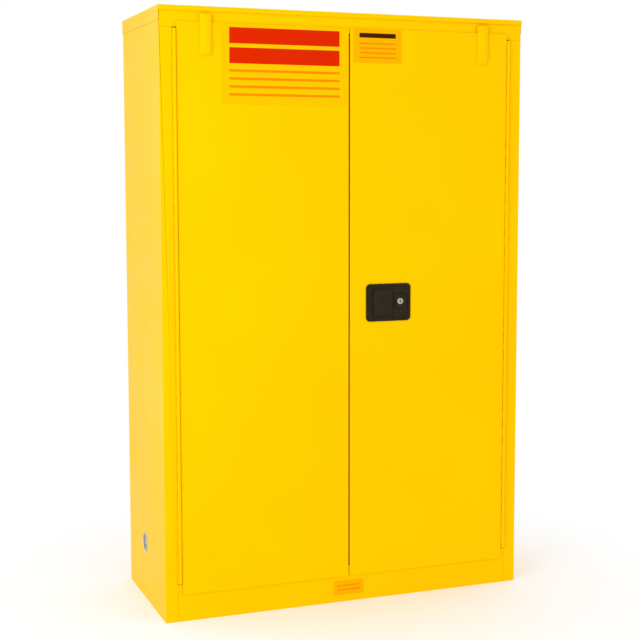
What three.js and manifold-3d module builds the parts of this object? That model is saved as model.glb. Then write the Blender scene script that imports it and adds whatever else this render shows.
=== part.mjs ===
// Two-door flammable storage cabinet: double-wall welded steel, manual doors on continuous hinges,
// a recessed paddle handle with a key lock, a three-point latch, two lift-out shelves and a sump.
// Millimetres, +Z up, doors facing -Y, origin at the middle of the footprint on the floor.
import * as THREE from "three";
import { mergeVertices } from "three/addons/utils/BufferGeometryUtils.js";
import Module from "manifold-3d";

const wasm = await Module();
wasm.setup();

// ---- Driving dimensions ----

const WIDTH = 1067; // over the top cover's side skirts
const HEIGHT = 1651;
const BODY_DEPTH = 432; // back of the top cover to the faces of the door jambs
const PROUD = 14; // how far the half-round stiffeners stand in front of the jambs

const SHEET = 1.2; // body panels
const DOOR_SHEET = 1.5; // door skins and hinge leaves
const GAP = 0.3; // between neighbouring sheets
const WALL = 38; // outer skin to inner liner
const OVERCUT = 5; // how far a cutting shape runs past the sheet that it cuts

const SKIRT = 38; // top cover, sides and back
const LIP = 13; // top cover, front
const LIP_STANDOFF = 1.8; // behind the front lip
const JAMB_WIDTH = 34.5;
const RETURN_DEPTH = 35; // depth of jamb, header and sill returns
const BACK_FLANGE = 25; // side panels, turned in behind the back panel
const BASE_HEIGHT = 20;
const HEADER_Z = 1595; // underside of the header
const SILL_Z = 103; // top of the sill

const DOOR_TOP_Z = 1610;
const DOOR_BOTTOM_Z = 74;
const DOOR_FACE = 3.2; // door face in front of the jamb faces
const DOOR_EDGE_X = 485.5; // hinge side of a door
const MEETING_GAP = 4; // between the two door skins
const PAN_EDGE_X = 5; // meeting side of a door's inner pan
const PAN_CLEARANCE = 3; // inner pan to header and sill
const DOOR_THICKNESS = 36;
const LEAF_DEPTH = 31; // from the hinge axis, both for the leaves and for the door skin's return

const KNUCKLES = 20;
const KNUCKLE_SIDES = 8;
const BARREL_R = 4.5;
const BARREL_BORE_R = 2.5;
const PIN_R = 1.9;
const KNUCKLE_GAP = 0.5;
const LEAF_CLEARANCE = 0.4; // barrel to the front edge of a leaf's plate
const TAB = { front: 0.5, back: 1, extra: 1 }; // joins a knuckle to its leaf's plate

const LINER_FOOT_Z = 40; // lower edge of the liner's sides and back
const LINER_RETURN = 28; // front edges of the liner, turned out towards the side panels
const SUMP_FLOOR_Z = 52;
const SUMP_RIM = 3; // below the top of the sill
const SILL_FOOT = 4; // lower edge of the sill's inner return, above the sump's floor
const JAMB_FOOT_GAP = 4; // notch in the base pan round the foot of a jamb's return
const SHELF_PITCH = 89;
const SLOT_ROWS = 13;
const FIRST_SLOT_Z = 260;
const LOWER_SHELF_ROW = 3;
const UPPER_SHELF_ROW = 9;
const SHELF_DEPTH_Z = 30; // height of a shelf's turned-down edges
const SHELF_LIP = 12;
const SHELF_GAP = { end: 5, front: 12, back: 8 }; // shelf to liner
const CLIP = { inset: 45, width: 16, top: 1.5 }; // inset from the liner's front and back
const CLIP_SLOT = { width: 18, height: 6 };

const VENT_R = 25.5; // outside of the collar's tube
const VENT_WALL = 3;
const VENT_FLANGE = 4; // flange beyond the tube
const VENT_SIDES = 24;
const VENT_PROUD = 1.5; // each end of the collar beyond the double wall
const SCREEN_THICKNESS = 2;
const BUNG = { length: 12, proud: 1, cupR: 20.2, cupDepth: 7, socket: 13, socketDepth: 3 };
const VENT_Z = { left: 165, right: 1480 };
const VENT_FROM_FRONT = 236;

const GROUND = { x: -440, z: 120, headR: 6, headHeight: 2.4, shankR: 2.5, shankLength: 14 };

const STIFFENER = { x: 407, width: 34, height: 108, bottomZ: 1522, rake: Math.PI / 5 };

const HANDLE = { x: 118, z: 852 }; // middle of the dish, and the axis of the latch rotor
const DISH = { width: 136, height: 106, corner: 12, flange: 3.4, tubInset: 8, cutoutInset: 6 };
const LOCK = { x: HANDLE.x + 34.6, z: HANDLE.z + 2.6, r: 11, square: 6 };
const LOCK_BOSS = { width: 33, height: 44, corner: 6, stand: 3 };
const LOCK_FACE = { proud: 0.6, keyHalfWidth: 1, keyHalfHeight: 5, keyDepth: 6 };
const LOCK_CAM = { hubR: 8, halfWidth: 6, reach: 20, thickness: 2 };
const PADDLE_LIP = { thickness: 3, depth: 9, inset: 2 };
const PADDLE_FINGER = { x: [-4, -0.5], y: [1, 15], halfHeight: 10 }; // from the pin

const ROTOR = { rodArm: 24, boltArm: 36, pinR: 3, hubR: 5, armHalfWidth: 8, armEnd: 7 };
const ROD = { width: 14, thickness: 3.5 };
const LATCH_DEPTH = { dish: 19, rotorFront: 22.2, rotorBack: 24.7, rods: 25.4 }; // behind the jamb faces
const LATCH_PLATE = { halfWidth: 66, halfHeight: 82, thickness: 1.5 };
const LATCH_WINDOW = { halfWidth: 58, halfHeight: 74 };
const LATCH_COVER = { halfWidth: 75, halfHeight: 92 };
const ROD_GUIDE = { halfWidth: 22, halfHeight: 12, front: 3, clearance: 0.8, fromPanEdge: 40 };
const ROD_EYE = { near: 8, far: 12, halfHeight: 8, overlap: 4, endGap: 1.5 };
const BOLT_EYE = { left: 9, right: 8, down: 14, up: 8, overlap: 5 };
const STRIKE = { halfLength: 32, front: 8.5, back: 6.2, thickness: 2 };
const LEFT_STRIKE = { halfLength: 30, front: 7, back: 4.5, thickness: 2 };
const SLOT_MARGIN = { frame: 3, door: 2 }; // round a bolt, in the frame and in the door and strikes
const CENTRE_BOLT = { halfHeight: 6, halfThickness: 1.75, tip: 0.8 };
const BOLT_THROW_CLEARANCE = 0.9;
const ROD_SWING = 5.4; // sideways travel of a rod's pin over the throw
const BOLT_SWING = 7.6;

const LABELS = {
  left: { x: [-364, -8], z: [1398, 1608] },
  right: { x: [12, 155], z: [1517, 1608] },
  sill: { x: [-45, 45], z: [20, 61] },
};

// ---- Planes that follow from them ----

const BACK_Y = (BODY_DEPTH + PROUD) / 2;
const JAMB_Y = BACK_Y - BODY_DEPTH;
const SKIN_X = WIDTH / 2 - SHEET - GAP; // outside of the side panels
const SKIN_BACK_Y = BACK_Y - SHEET - GAP;
const LINER_X = SKIN_X - WALL;
const JAMB_X = SKIN_X - JAMB_WIDTH;
const RETURN_Y = JAMB_Y + RETURN_DEPTH;
const BACK_PANEL_Y = SKIN_BACK_Y - SHEET - GAP; // outside of the back panel
const LINER_BACK_Y = BACK_PANEL_Y - WALL;
const LINER_FRONT_Y = RETURN_Y + 2;
const LINER_TOP_Z = HEIGHT - WALL - SHEET;
const FACE_Y = JAMB_Y - DOOR_FACE;
const SKIN_INNER_Y = FACE_Y + DOOR_SHEET;
const PAN_BACK_Y = SKIN_INNER_Y + GAP + DOOR_THICKNESS - DOOR_SHEET;
const HINGE_X = (JAMB_X + DOOR_EDGE_X) / 2;
const HINGE_Y = FACE_Y - GAP;
const HINGE_BOTTOM_Z = SILL_Z + PAN_CLEARANCE;
const HINGE_TOP_Z = HEADER_Z - PAN_CLEARANCE;
const VENT_Y = JAMB_Y + VENT_FROM_FRONT;

// ---- Finishes ----

const finish = (color, roughness, metalness) =>
  new THREE.MeshStandardMaterial({ color, roughness, metalness });
const YELLOW = () => finish(0xffcf05, 0.42, 0.0);
const GALVANISED = () => finish(0xb9bdc0, 0.45, 0.9);
const ZINC = () => finish(0xc2c1bb, 0.35, 1.0);
const BLACK = () => finish(0x1c1a18, 0.4, 0.0);
const CHROME = () => finish(0xd5d2cc, 0.15, 1.0);
const MESH_STEEL = () => finish(0x6f6f6c, 0.5, 1.0);
const FILM = () => finish(0xf6c410, 0.3, 0.0);

// ---- Geometry helpers ----

function toSolid(geometry) {
  const bare = geometry.clone();
  bare.deleteAttribute("normal");
  bare.deleteAttribute("uv");
  const merged = mergeVertices(bare, 1e-4);
  return new wasm.Manifold(
    new wasm.Mesh({
      numProp: 3,
      vertProperties: new Float32Array(merged.attributes.position.array),
      triVerts: new Uint32Array(merged.index.array),
    }),
  );
}

function toGeometry(solid) {
  const mesh = solid.getMesh();
  const geometry = new THREE.BufferGeometry();
  geometry.setAttribute("position", new THREE.BufferAttribute(mesh.vertProperties, 3));
  geometry.setIndex(new THREE.BufferAttribute(mesh.triVerts, 1));
  geometry.computeVertexNormals();
  return geometry;
}

// The first geometry joined with the added ones, less the removed ones.
function combine(first, added, removed = []) {
  let solid = toSolid(first);
  for (const piece of added) solid = solid.add(toSolid(piece));
  for (const piece of removed) solid = solid.subtract(toSolid(piece));
  return toGeometry(solid);
}

function block([x0, x1], [y0, y1], [z0, z1]) {
  const box = new THREE.BoxGeometry(Math.abs(x1 - x0), Math.abs(y1 - y0), Math.abs(z1 - z0));
  return box.translate((x0 + x1) / 2, (y0 + y1) / 2, (z0 + z1) / 2);
}

// A cylinder centred on its axis, which is "x", "y" or "z".
function rod(axis, radius, length, sides = 20) {
  const cylinder = new THREE.CylinderGeometry(radius, radius, length, sides);
  if (axis === "x") cylinder.rotateZ(Math.PI / 2);
  if (axis === "z") cylinder.rotateX(Math.PI / 2);
  return cylinder;
}

// Turns a shape extruded along local Z so that it runs along X, with the shape in (y, z).
const ALONG_X = new THREE.Matrix4().makeBasis(
  new THREE.Vector3(0, 1, 0),
  new THREE.Vector3(0, 0, 1),
  new THREE.Vector3(1, 0, 0),
);

function extrude(shape, depth, curveSegments = 8) {
  return new THREE.ExtrudeGeometry(shape, { depth, bevelEnabled: false, curveSegments });
}

function extrudeX(shape, x0, x1, curveSegments) {
  return extrude(shape, x1 - x0, curveSegments).applyMatrix4(ALONG_X).translate(x0, 0, 0);
}

// Extrudes along Y, with the shape in (x, z).
function extrudeY(shape, y0, y1, curveSegments) {
  return extrude(shape, y1 - y0, curveSegments).rotateX(Math.PI / 2).translate(0, y1, 0);
}

// The outline of a folded sheet: a path of its outer face, thickened to the left of travel.
function foldedSheet(path, thickness) {
  const points = path.map(([x, y]) => new THREE.Vector2(x, y));
  const normals = points.slice(1).map((p, i) => {
    const along = p.clone().sub(points[i]).normalize();
    return new THREE.Vector2(-along.y, along.x);
  });
  const inner = points.map((p, i) => {
    const before = normals[Math.max(i - 1, 0)];
    const after = normals[Math.min(i, normals.length - 1)];
    const mitre = before.clone().add(after).divideScalar(1 + before.dot(after));
    return p.clone().addScaledVector(mitre, thickness);
  });
  return new THREE.Shape([...points, ...inner.reverse()]);
}

function mirrorPath(path) {
  return path.map(([x, y]) => [-x, y]).reverse();
}

function roundedRectangle(width, height, radius) {
  const [w, h] = [width / 2, height / 2];
  const shape = new THREE.Shape();
  shape.moveTo(-w + radius, -h);
  shape.lineTo(w - radius, -h);
  shape.absarc(w - radius, -h + radius, radius, -Math.PI / 2, 0);
  shape.lineTo(w, h - radius);
  shape.absarc(w - radius, h - radius, radius, 0, Math.PI / 2);
  shape.lineTo(-w + radius, h);
  shape.absarc(-w + radius, h - radius, radius, Math.PI / 2, Math.PI);
  shape.lineTo(-w, -h + radius);
  shape.absarc(-w + radius, -h + radius, radius, Math.PI, 1.5 * Math.PI);
  return shape;
}

// An open-topped tray, its mouth towards +Z, -Y or +Y.
function tray(x, y, z, thickness, mouth) {
  const inside = { x: [x[0] + thickness, x[1] - thickness], y: [...y], z: [...z] };
  if (mouth === "+z") {
    inside.y = [y[0] + thickness, y[1] - thickness];
    inside.z = [z[0] + thickness, z[1] + 1];
  } else {
    inside.z = [z[0] + thickness, z[1] - thickness];
    inside.y = mouth === "-y" ? [y[0] - 1, y[1] - thickness] : [y[0] + thickness, y[1] + 1];
  }
  return combine(block(x, y, z), [], [block(inside.x, inside.y, inside.z)]);
}

function node(name, geometry, material, position = [0, 0, 0]) {
  const mesh = new THREE.Mesh(geometry, material);
  mesh.name = name;
  mesh.position.set(...position);
  return mesh;
}

const SIDES = [
  ["left", -1],
  ["right", 1],
];

// Orders a pair of x values after they are carried to one side.
const span = (side, a, b) => (side < 0 ? [-b, -a] : [a, b]);

// ---- Outer shell ----

function outerSide(name, side) {
  const path = [
    [-SKIN_X + BACK_FLANGE, SKIN_BACK_Y],
    [-SKIN_X, SKIN_BACK_Y],
    [-SKIN_X, JAMB_Y],
    [-JAMB_X, JAMB_Y],
    [-JAMB_X, RETURN_Y],
  ];
  const height = HEIGHT - SHEET - GAP;
  const shape = foldedSheet(side < 0 ? path : mirrorPath(path), SHEET);
  const jambTop = block(
    span(side, JAMB_X - OVERCUT, SKIN_X - SHEET),
    [JAMB_Y - OVERCUT, RETURN_Y + OVERCUT],
    [HEADER_Z - GAP, HEIGHT],
  );
  const ventHole = rod("x", VENT_R + GAP, 20, VENT_SIDES).translate(side * SKIN_X, VENT_Y, VENT_Z[name]);
  const geometry = combine(extrude(shape, height), [], [jambTop, ventHole]);
  return node(`outer_side_${name}`, geometry, YELLOW());
}

function topCover() {
  const half = WIDTH / 2;
  const frontY = JAMB_Y - LIP_STANDOFF - SHEET;
  const outside = block([-half, half], [frontY, BACK_Y], [HEIGHT - SKIRT, HEIGHT]);
  const hollow = block(
    [-half + SHEET, half - SHEET],
    [frontY + SHEET, BACK_Y - SHEET],
    [HEIGHT - SKIRT - OVERCUT, HEIGHT - SHEET],
  );
  const frontCut = block(
    [-half + SHEET, half - SHEET],
    [frontY - OVERCUT, frontY + OVERCUT],
    [HEIGHT - SKIRT - OVERCUT, HEIGHT - LIP],
  );
  const endCut = (side) =>
    block(
      span(side, half - OVERCUT, half + OVERCUT),
      [frontY - OVERCUT, JAMB_Y],
      [HEIGHT - SKIRT - OVERCUT, HEIGHT - LIP],
    );
  const geometry = combine(outside, [], [hollow, frontCut, endCut(-1), endCut(1)]);
  return node("top_cover", geometry, YELLOW());
}

// Where the latch bolts meet the frame.
const TOP_BOLT_X = HANDLE.x + ROTOR.rodArm;
const BOTTOM_BOLT_X = HANDLE.x - ROTOR.rodArm;
const ROD_Y = [JAMB_Y + LATCH_DEPTH.rods, JAMB_Y + LATCH_DEPTH.rods + ROD.thickness];
const ROD_MID_Y = (ROD_Y[0] + ROD_Y[1]) / 2;

// The slot for a rod through a sheet at height z, with a margin all round the rod.
function boltSlot(x, z, margin) {
  const [halfWidth, halfDepth] = [ROD.width / 2 + margin, ROD.thickness / 2 + margin];
  return block(
    [x - halfWidth, x + halfWidth],
    [ROD_MID_Y - halfDepth, ROD_MID_Y + halfDepth],
    [z - OVERCUT, z + OVERCUT],
  );
}

function header() {
  const path = [
    [JAMB_Y, HEIGHT - SHEET - GAP],
    [JAMB_Y, HEADER_Z],
    [RETURN_Y, HEADER_Z],
    [RETURN_Y, LINER_TOP_Z],
  ];
  const end = SKIN_X - SHEET - GAP;
  const sheet = extrudeX(foldedSheet(path, SHEET), -end, end);
  const slot = boltSlot(TOP_BOLT_X, HEADER_Z, SLOT_MARGIN.frame);
  return node("header", combine(sheet, [], [slot]), YELLOW());
}

function sill() {
  const path = [
    [RETURN_Y, SUMP_FLOOR_Z + SILL_FOOT],
    [RETURN_Y, SILL_Z],
    [JAMB_Y, SILL_Z],
    [JAMB_Y, 0],
  ];
  const end = JAMB_X - GAP;
  const sheet = extrudeX(foldedSheet(path, SHEET), -end, end);
  const slot = boltSlot(BOTTOM_BOLT_X, SILL_Z, SLOT_MARGIN.frame);
  return node("sill", combine(sheet, [], [slot]), YELLOW());
}

function strike(name, x, z) {
  const plate = block(
    [x - STRIKE.halfLength, x + STRIKE.halfLength],
    [ROD_MID_Y - STRIKE.front, ROD_MID_Y + STRIKE.back],
    [z, z + STRIKE.thickness],
  );
  return node(name, combine(plate, [], [boltSlot(x, z, SLOT_MARGIN.door)]), ZINC());
}

function shell() {
  const group = new THREE.Group();
  for (const [name, side] of SIDES) group.add(outerSide(name, side));
  const inside = SKIN_X - SHEET - GAP;
  const back = block(
    [-inside, inside],
    [BACK_PANEL_Y - SHEET, BACK_PANEL_Y],
    [0, HEIGHT - SHEET - GAP],
  );
  const groundHole = rod("y", GROUND.shankR + 0.5, 10, 12).translate(GROUND.x, BACK_PANEL_Y, GROUND.z);
  group.add(node("outer_back", combine(back, [], [groundHole]), YELLOW()));
  const base = tray(
    [-inside, inside],
    [JAMB_Y + SHEET + GAP, BACK_PANEL_Y - SHEET - GAP],
    [0, BASE_HEIGHT],
    SHEET,
    "+z",
  );
  const notch = SHEET + JAMB_FOOT_GAP;
  const jambFoot = (side) =>
    block(
      span(side, JAMB_X - notch, JAMB_X + notch),
      [JAMB_Y, RETURN_Y + JAMB_FOOT_GAP],
      [-OVERCUT, BASE_HEIGHT + OVERCUT],
    );
  group.add(node("base_pan", combine(base, [], [jambFoot(-1), jambFoot(1)]), YELLOW()));
  group.add(topCover(), header(), sill());
  group.add(strike("header_strike", TOP_BOLT_X, HEADER_Z + SHEET + GAP));
  group.add(strike("sill_strike", BOTTOM_BOLT_X, SILL_Z - SHEET - GAP - STRIKE.thickness));
  return group;
}

// ---- Inner liner, sump, vents and grounding screw ----

const CLIP_Y = [LINER_FRONT_Y + CLIP.inset, LINER_BACK_Y - CLIP.inset];
const slotZ = (row) => FIRST_SLOT_Z + row * SHELF_PITCH;

function linerSide(name, side) {
  const path = [
    [-LINER_X - LINER_RETURN, LINER_FRONT_Y],
    [-LINER_X, LINER_FRONT_Y],
    [-LINER_X, LINER_BACK_Y],
  ];
  const shape = foldedSheet(side < 0 ? path : mirrorPath(path), SHEET);
  const sheet = extrude(shape, LINER_TOP_Z - LINER_FOOT_Z).translate(0, 0, LINER_FOOT_Z);
  const [halfWidth, halfHeight] = [CLIP_SLOT.width / 2, CLIP_SLOT.height / 2];
  const slots = CLIP_Y.flatMap((y) =>
    Array.from({ length: SLOT_ROWS }, (_, row) =>
      block(
        span(side, LINER_X - OVERCUT, LINER_X + OVERCUT),
        [y - halfWidth, y + halfWidth],
        [slotZ(row) - halfHeight, slotZ(row) + halfHeight],
      ),
    ),
  );
  const ventHole = rod("x", VENT_R + GAP, 20, VENT_SIDES).translate(side * LINER_X, VENT_Y, VENT_Z[name]);
  return node(`inner_side_${name}`, combine(sheet, [], [...slots, ventHole]), YELLOW());
}

function liner() {
  const group = new THREE.Group();
  for (const [name, side] of SIDES) group.add(linerSide(name, side));
  const end = LINER_X + SHEET;
  const back = block(
    [-end, end],
    [LINER_BACK_Y + GAP, LINER_BACK_Y + GAP + SHEET],
    [LINER_FOOT_Z, LINER_TOP_Z],
  );
  group.add(node("inner_back", back, YELLOW()));
  const top = block(
    [-end, end],
    [RETURN_Y + GAP, LINER_BACK_Y + GAP + SHEET],
    [LINER_TOP_Z + GAP, LINER_TOP_Z + GAP + SHEET],
  );
  group.add(node("inner_top", top, YELLOW()));
  const sump = tray(
    [-LINER_X + GAP, LINER_X - GAP],
    [LINER_FRONT_Y, LINER_BACK_Y - GAP],
    [SUMP_FLOOR_Z - SHEET, SILL_Z - SUMP_RIM],
    SHEET,
    "+z",
  );
  group.add(node("sump_pan", sump, YELLOW()));
  return group;
}

// A short threaded tube through the double wall, with a flame-arrester screen at its inner end and
// a cup-shaped bung in its outer end. The bung has a square socket in the floor of its cup.
function vent(name, side) {
  const group = new THREE.Group();
  group.position.set(side * SKIN_X, VENT_Y, VENT_Z[name]);
  const bore = VENT_R - VENT_WALL;
  const length = WALL + 2 * VENT_PROUD;
  const tube = combine(
    rod("x", VENT_R, length, VENT_SIDES).translate(-side * (length / 2 - VENT_PROUD), 0, 0),
    [rod("x", VENT_R + VENT_FLANGE, SHEET, VENT_SIDES).translate(side * (SHEET / 2 + GAP), 0, 0)],
    [rod("x", bore, 3 * length, VENT_SIDES)],
  );
  group.add(node(`vent_collar_${name}`, tube, ZINC()));
  const screen = rod("x", bore - GAP, SCREEN_THICKNESS, VENT_SIDES);
  group.add(node(`flame_screen_${name}`, screen, MESH_STEEL(), [-side * (WALL - SCREEN_THICKNESS), 0, 0]));
  const floor = BUNG.proud - BUNG.cupDepth;
  const cup = rod("x", BUNG.cupR, BUNG.cupDepth + 1, VENT_SIDES);
  cup.translate(side * (floor + (BUNG.cupDepth + 1) / 2), 0, 0);
  const half = BUNG.socket / 2;
  const socket = block(span(side, floor - BUNG.socketDepth, floor + 1), [-half, half], [-half, half]);
  const plug = rod("x", bore - GAP, BUNG.length, VENT_SIDES);
  plug.translate(-side * (BUNG.length / 2 - BUNG.proud), 0, 0);
  group.add(node(`vent_bung_${name}`, combine(plug, [], [cup, socket]), ZINC()));
  return group;
}

function groundScrew() {
  const { headR, headHeight, shankR, shankLength } = GROUND;
  const screw = combine(
    rod("y", headR, headHeight, 16).translate(0, headHeight / 2 + GAP, 0),
    [rod("y", shankR, shankLength, 12).translate(0, 1 - shankLength / 2, 0)],
  );
  return node("ground_screw", screw, ZINC(), [GROUND.x, BACK_PANEL_Y, GROUND.z]);
}

// ---- Shelves and their clips ----

function shelfClip(name, side, y, z) {
  const shape = new THREE.Shape([
    new THREE.Vector2(2.5, -2),
    new THREE.Vector2(2.5, CLIP.top),
    new THREE.Vector2(-12, CLIP.top),
    new THREE.Vector2(-12, 0),
    new THREE.Vector2(-1.8, 0),
    new THREE.Vector2(-1.8, -20),
    new THREE.Vector2(-0.3, -20),
    new THREE.Vector2(-0.3, -2),
  ]);
  const clip = extrudeY(shape, -CLIP.width / 2, CLIP.width / 2);
  const mesh = node(name, clip, ZINC(), [side * LINER_X, y, z]);
  if (side < 0) mesh.rotation.z = Math.PI;
  return mesh;
}

// A shelf is a deck with its four edges turned down and in, so that it rests on the clips by its lips.
function shelf(name, row) {
  const half = LINER_X - SHELF_GAP.end;
  const y = [LINER_FRONT_Y + SHELF_GAP.front, LINER_BACK_Y - SHELF_GAP.back];
  const outside = block([-half, half], y, [0, SHELF_DEPTH_Z]);
  const hollow = block(
    [-half + SHEET, half - SHEET],
    [y[0] + SHEET, y[1] - SHEET],
    [SHEET, SHELF_DEPTH_Z - SHEET],
  );
  const mouth = block(
    [-half + SHELF_LIP, half - SHELF_LIP],
    [y[0] + SHELF_LIP, y[1] - SHELF_LIP],
    [-1, 2 * SHEET],
  );
  const geometry = combine(outside, [], [hollow, mouth]);
  return node(name, geometry, GALVANISED(), [0, 0, slotZ(row) + CLIP.top + GAP]);
}

function shelving() {
  const group = new THREE.Group();
  const levels = [
    ["lower", LOWER_SHELF_ROW],
    ["upper", UPPER_SHELF_ROW],
  ];
  for (const [level, row] of levels) {
    group.add(shelf(`shelf_${level}`, row));
    for (const [sideName, side] of SIDES) {
      CLIP_Y.forEach((y, i) => {
        const name = `clip_${level}_${sideName}_${i ? "rear" : "front"}`;
        group.add(shelfClip(name, side, y, slotZ(row)));
      });
    }
  }
  return group;
}

// ---- Continuous hinges ----

function hinge(name, side) {
  const group = new THREE.Group();
  group.position.set(side * HINGE_X, HINGE_Y, HINGE_BOTTOM_Z);
  const length = HINGE_TOP_Z - HINGE_BOTTOM_Z;
  const pitch = length / KNUCKLES;
  const ring = new THREE.Shape().absarc(0, 0, BARREL_R, 0, 2 * Math.PI);
  ring.holes.push(new THREE.Path().absarc(0, 0, BARREL_BORE_R, 0, 2 * Math.PI));
  const offset = HINGE_X - DOOR_EDGE_X - GAP; // leaf's outer face from the hinge axis
  const leaf = (towardDoor) => {
    const outward = towardDoor ? -side : side;
    const plateX = span(outward, offset - DOOR_SHEET, offset);
    const tabX = span(outward, offset - DOOR_SHEET - TAB.extra, offset);
    const plate = block(plateX, [BARREL_R + LEAF_CLEARANCE, LEAF_DEPTH], [0, length]);
    const pieces = [];
    for (let i = towardDoor ? 1 : 0; i < KNUCKLES; i += 2) {
      const [z0, z1] = [i * pitch + KNUCKLE_GAP / 2, (i + 1) * pitch - KNUCKLE_GAP / 2];
      pieces.push(extrude(ring, z1 - z0, KNUCKLE_SIDES / 2).translate(0, 0, z0));
      pieces.push(block(tabX, [TAB.front, BARREL_R + TAB.back], [z0, z1]));
    }
    const bore = rod("z", BARREL_BORE_R, 3 * length, KNUCKLE_SIDES);
    return combine(plate, pieces, [bore.rotateZ(Math.PI / 2)]);
  };
  group.add(node(`hinge_${name}_frame_leaf`, leaf(false), YELLOW()));
  group.add(node(`hinge_${name}_door_leaf`, leaf(true), YELLOW()));
  const pin = rod("z", PIN_R, length - 1, KNUCKLE_SIDES);
  group.add(node(`hinge_${name}_pin`, pin, ZINC(), [0, 0, length / 2]));
  return group;
}

// ---- Doors ----

function doorSkin(name, side, cutouts) {
  const skin = block(
    span(side, MEETING_GAP / 2, DOOR_EDGE_X),
    [FACE_Y, SKIN_INNER_Y],
    [DOOR_BOTTOM_Z, DOOR_TOP_Z],
  );
  const hingeReturn = block(
    span(side, DOOR_EDGE_X - DOOR_SHEET, DOOR_EDGE_X),
    [FACE_Y, HINGE_Y + LEAF_DEPTH],
    [HINGE_BOTTOM_Z, HINGE_TOP_Z],
  );
  return node(`door_${name}_skin`, combine(skin, [hingeReturn], cutouts), YELLOW());
}

function doorPan(name, side, cutouts) {
  const pan = tray(
    span(side, PAN_EDGE_X, DOOR_EDGE_X - DOOR_SHEET - GAP),
    [SKIN_INNER_Y + GAP, PAN_BACK_Y],
    [HINGE_BOTTOM_Z, HINGE_TOP_Z],
    SHEET,
    "-y",
  );
  return node(`door_${name}_pan`, combine(pan, [], cutouts), YELLOW());
}

// Centre of the block that rakes the pressing, in parts of its half-size.
const RAKE_CENTRE = { forward: 1.25, down: 0.55 };

// The half-round pressing near the top of each door, closed and raked at its lower end.
function stiffener(name, side) {
  const { x, width, height, bottomZ, rake: angle } = STIFFENER;
  const rise = FACE_Y - GAP + BACK_Y;
  const arch = new THREE.Shape();
  arch.moveTo(-width / 2, 0);
  arch.absellipse(0, 0, width / 2, rise, Math.PI, 2 * Math.PI);
  const body = extrude(arch, height, 6).translate(0, 0, bottomZ);
  const rake = block([-width, width], [-rise, rise], [-rise, rise]).rotateX(-angle);
  rake.translate(0, -rise * RAKE_CENTRE.forward, bottomZ - rise * RAKE_CENTRE.down);
  const geometry = combine(body, [], [rake]);
  return node(`door_${name}_stiffener`, geometry, YELLOW(), [side * x, FACE_Y - GAP, 0]);
}

// A rectangle within the dish's outline, as its x and z limits.
const dishLimits = (inset) => [
  [HANDLE.x - DISH.width / 2 + inset, HANDLE.x + DISH.width / 2 - inset],
  [HANDLE.z - DISH.height / 2 + inset, HANDLE.z + DISH.height / 2 - inset],
];

// The sliding centre bolt's line and its holes in the meeting edges of both doors.
const CENTRE_BOLT_Z = HANDLE.z + ROTOR.boltArm;
const centreBoltSlot = (side, grow) =>
  block(
    span(side, PAN_EDGE_X - OVERCUT, PAN_EDGE_X + OVERCUT),
    [ROD_MID_Y - CENTRE_BOLT.halfThickness - grow, ROD_MID_Y + CENTRE_BOLT.halfThickness + grow],
    [
      CENTRE_BOLT_Z - CENTRE_BOLT.halfHeight - grow,
      CENTRE_BOLT_Z + CENTRE_BOLT.halfHeight + grow,
    ],
  );

function leftDoor() {
  const group = new THREE.Group();
  group.add(doorSkin("left", -1, []));
  group.add(doorPan("left", -1, [centreBoltSlot(-1, SLOT_MARGIN.frame)]));
  group.add(stiffener("left", -1));
  const strikeX = PAN_EDGE_X + SHEET + GAP;
  const plate = block(
    span(-1, strikeX, strikeX + LEFT_STRIKE.thickness),
    [ROD_MID_Y - LEFT_STRIKE.front, ROD_MID_Y + LEFT_STRIKE.back],
    [CENTRE_BOLT_Z - LEFT_STRIKE.halfLength, CENTRE_BOLT_Z + LEFT_STRIKE.halfLength],
  );
  const slot = centreBoltSlot(-1, SLOT_MARGIN.door).translate(PAN_EDGE_X - strikeX, 0, 0);
  group.add(node("left_strike", combine(plate, [], [slot]), ZINC()));
  return group;
}

// ---- Handle, lock and latch in the right door ----

const FLANGE_FRONT_Y = FACE_Y - GAP - DISH.flange;
const DISH_BACK_Y = JAMB_Y + LATCH_DEPTH.dish;
const POCKET = { x: [60, 131], z: [HANDLE.z - 39, HANDLE.z + 39], backY: DISH_BACK_Y - 2 };
// The moulding is cored out from behind, under the lock.
const LOCK_HOLLOW = { rib: 3, wall: 2, front: 4, belowLock: 16 };
const PADDLE = { x: [71, 128], z: [HANDLE.z - 37, HANDLE.z + 37], thickness: 3, sunk: 0.4 };
const PADDLE_PIN = { x: 125.6, y: FLANGE_FRONT_Y + 3.4, r: 1.6, barrelR: 3.3, length: 88 };
const LOCK_BOSS_Y = FLANGE_FRONT_Y - LOCK_BOSS.stand;

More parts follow.
